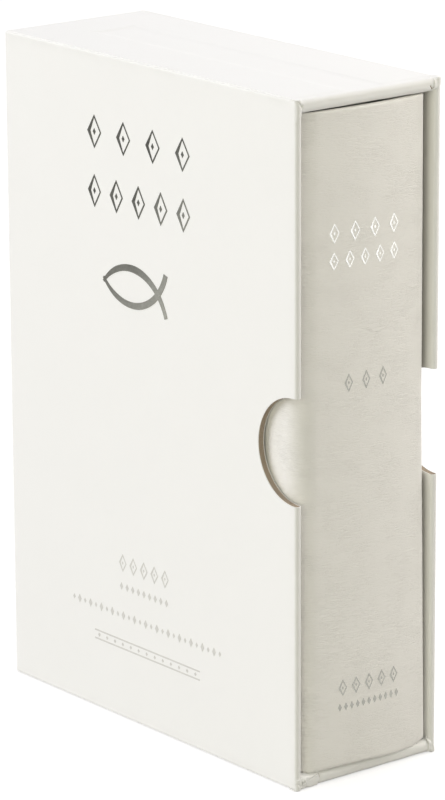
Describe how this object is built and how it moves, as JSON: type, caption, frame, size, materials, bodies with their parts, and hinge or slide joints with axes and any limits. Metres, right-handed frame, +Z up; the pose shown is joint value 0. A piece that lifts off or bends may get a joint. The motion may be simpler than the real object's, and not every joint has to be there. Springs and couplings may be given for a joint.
{
  "type": "bible in a slipcase",
  "caption": "Compact white bible in imitation leather with a rounded spine, standing in a white paper-covered board slipcase with thumb notches at its open side.",
  "frame": {"origin": "middle of the slipcase's underside, on the surface that it stands on", "axes": "+X out of the slipcase's mouth, where the book's spine faces and the book slides out; +Y from the front wall to the back wall; +Z up, from the book's tail to its head"},
  "size_m": [0.0988, 0.0384, 0.146],
  "materials": {
    "cover_paper": "satin",
    "lining_paper": "matte",
    "greyboard": "matte",
    "cover_leather": "satin",
    "page_paper": "matte",
    "endpaper": "matte",
    "card": "matte",
    "gauze": "matte",
    "thread": "matte",
    "kraft": "matte",
    "band": "satin",
    "ribbon": "satin"
  },
  "bodies": {
    "slipcase": {"case_front_board": "greyboard", "case_back_board": "greyboard", "case_top_board": "greyboard", "case_bottom_board": "greyboard", "case_end_board": "greyboard", "case_side_paper": "cover_paper", "case_top_paper": "cover_paper", "case_bottom_paper": "cover_paper", "case_side_lining": "lining_paper", "case_top_lining": "lining_paper", "case_bottom_lining": "lining_paper"},
    "book": {"front_cover_board": "greyboard", "back_cover_board": "greyboard", "spine_inlay": "card", "cover_leather": "cover_leather", "signatures": "page_paper", "sewing_thread": "thread", "mull": "gauze", "back_lining": "kraft", "headband": "band", "tailband": "band", "front_endpaper": "endpaper", "back_endpaper": "endpaper", "ribbon_marker": "ribbon"}
  },
  "joints": [
    {"name": "book_slide", "type": "slide", "parent": "slipcase", "child": "book", "axis": [1, 0, 0], "range_m": [0, 0.11]}
  ]
}
